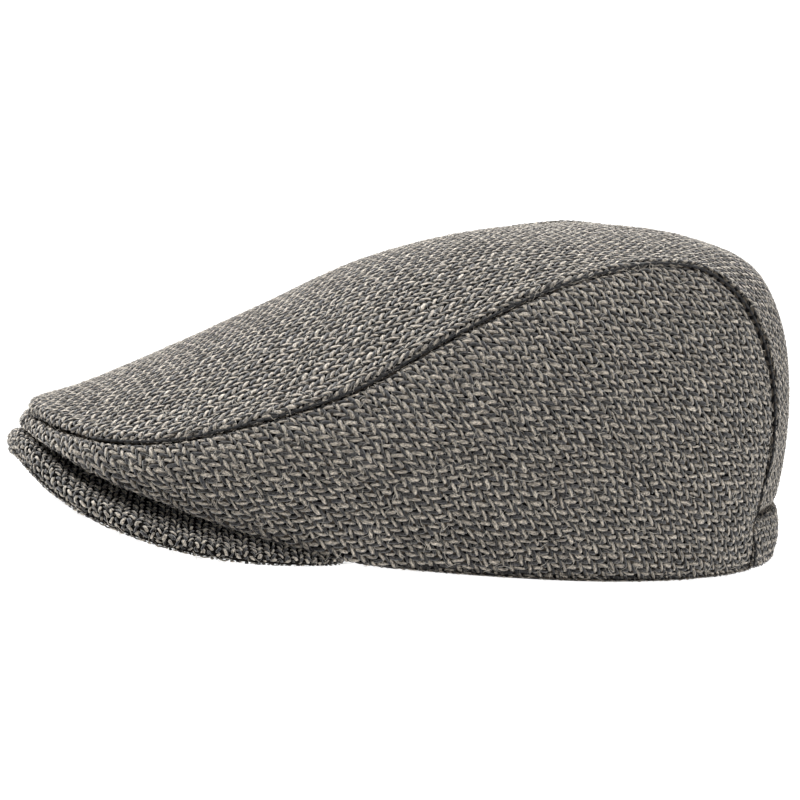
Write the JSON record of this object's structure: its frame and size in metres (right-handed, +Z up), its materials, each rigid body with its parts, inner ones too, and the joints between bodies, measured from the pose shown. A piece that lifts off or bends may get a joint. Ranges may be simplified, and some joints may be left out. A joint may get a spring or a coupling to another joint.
{
  "type": "flat cap",
  "caption": "Soft tweed flat cap: a long top panel sewn between side panels, folded down over a short stiff peak, with a narrow band across the back; worn on the head.",
  "frame": {"origin": "centre of the cap's box on the surface that the hem rests on", "axes": "+Z up, the peak towards -Y, the wearer's left towards +X"},
  "size_m": [0.1668, 0.2757, 0.1075],
  "materials": {
    "crown_tweed": "wool tweed, rough woven surface of dark and beige yarn, matt",
    "peak_tweed": "wool tweed, rough woven surface of dark and beige yarn, matt",
    "band_tweed": "wool tweed, rough woven surface of dark and beige yarn, matt"
  },
  "bodies": {
    "root": {"top_panel": "crown_tweed", "side_panel_left": "crown_tweed", "side_panel_right": "crown_tweed", "peak": "peak_tweed", "rear_band": "band_tweed"}
  },
  "joints": []
}
